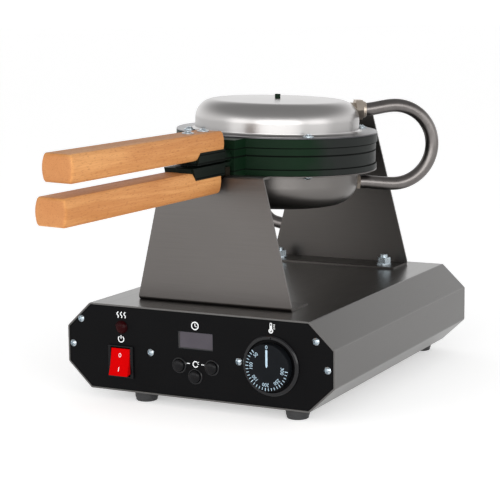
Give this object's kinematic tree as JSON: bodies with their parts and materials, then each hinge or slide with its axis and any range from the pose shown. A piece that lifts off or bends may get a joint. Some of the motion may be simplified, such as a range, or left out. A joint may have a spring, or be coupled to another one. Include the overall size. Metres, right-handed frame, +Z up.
{
  "type": "rotating waffle maker",
  "caption": "Counter-top electric waffle machine: two hinged round mould pans that flip over on two uprights, with wooden handles above a bevelled control base.",
  "frame": {"origin": "centre of the base housing's footprint, on the surface the feet stand on", "axes": "+X to the operator's right, +Y from the control panel to the back, +Z up"},
  "size_m": [0.28, 0.5915, 0.2836],
  "materials": {
    "brushed_steel": "brushed",
    "spun_steel": "satin",
    "black_panel": "satin",
    "cast_body": "satin",
    "beech": "oiled",
    "zinc": "zinc plated",
    "nickel": "nickel plated",
    "bronze": "machined",
    "hose_metal": "satin",
    "rubber": "matte",
    "black_plastic": "gloss",
    "red_plastic": "gloss",
    "lens": "gloss",
    "display": "smooth",
    "board": "satin",
    "white_plastic": "matte",
    "copper": "drawn",
    "ceramic_fibre": "fibrous",
    "sheath": "heat stained"
  },
  "bodies": {
    "base": {"base_housing": "brushed_steel", "bottom_plate": "brushed_steel", "front_upright": "brushed_steel", "rear_upright": "brushed_steel", "shaft_cap": "brushed_steel", "bottom_plate_screws": "zinc", "feet": "rubber", "foot_screws": "zinc", "front_panel": "black_panel", "rear_panel": "black_panel", "panel_fixings": "zinc", "cable_gland": "black_plastic", "rocker_switch_body": "black_plastic", "indicator_lamp": "lens", "display_window": "display", "display_module": "black_plastic", "timer_board": "board", "board_standoffs": "nickel", "button_rings": "black_plastic", "knob_index_ring": "black_plastic", "thermostat_body": "white_plastic", "thermostat_capillary": "copper", "terminal_block": "white_plastic", "power_relay": "black_plastic", "wiring_looms": "black_plastic", "upright_bolts": "zinc", "upright_nuts": "zinc", "front_saddle": "bronze", "saddle_screws": "zinc", "rear_bearing": "bronze", "base_conduit": "hose_metal", "base_conduit_unions": "nickel"},
    "lower_pan": {"lower_pan": "cast_body", "lower_element": "sheath", "lower_insulation": "ceramic_fibre", "lower_cover": "spun_steel", "lower_cover_screws": "zinc", "lower_handle": "beech", "lower_handle_screws": "zinc", "lower_union": "nickel", "rear_shaft": "spun_steel", "shaft_collar": "zinc", "hinge_pin": "zinc", "conduit_hose": "hose_metal"},
    "upper_pan": {"upper_pan": "cast_body", "upper_element": "sheath", "upper_insulation": "ceramic_fibre", "upper_cover": "spun_steel", "upper_cover_screws": "zinc", "upper_handle": "beech", "upper_handle_screws": "zinc", "upper_union": "nickel", "crown_stud": "cast_body"},
    "rocker": {"rocker": "red_plastic"},
    "knob": {"knob": "black_plastic", "thermostat_shaft": "nickel"},
    "button_left": {"button_cap_left": "black_plastic"},
    "button_right": {"button_cap_right": "black_plastic"},
    "button_lower": {"button_cap_lower": "black_plastic"}
  },
  "joints": [
    {"name": "pan_flip", "type": "hinge", "parent": "base", "child": "lower_pan", "pos_m": [0, 0, 0.229], "axis": [0, -1, 0], "range_deg": [0, 180]},
    {"name": "pan_open", "type": "hinge", "parent": "lower_pan", "child": "upper_pan", "pos_m": [0.00008, 0.1122, 0.2314], "axis": [0.9995, 0, -0.0314], "range_deg": [-85, 0], "deforming": ["conduit_hose"]},
    {"name": "rocker_swing", "type": "hinge", "parent": "base", "child": "rocker", "pos_m": [-0.0809, -0.1735, 0.0388], "axis": [1, 0, 0], "range_deg": [0, 14]},
    {"name": "knob_turn", "type": "hinge", "parent": "base", "child": "knob", "pos_m": [0.077, -0.173, 0.0494], "axis": [0, 1, 0], "range_deg": [0, 264]},
    {"name": "button_left_press", "type": "slide", "parent": "base", "child": "button_left", "axis": [0, 1, 0], "range_m": [0, 0.0015], "stiffness_N_per_m": 800},
    {"name": "button_right_press", "type": "slide", "parent": "base", "child": "button_right", "axis": [0, 1, 0], "range_m": [0, 0.0015], "stiffness_N_per_m": 800},
    {"name": "button_lower_press", "type": "slide", "parent": "base", "child": "button_lower", "axis": [0, 1, 0], "range_m": [0, 0.0015], "stiffness_N_per_m": 800}
  ]
}
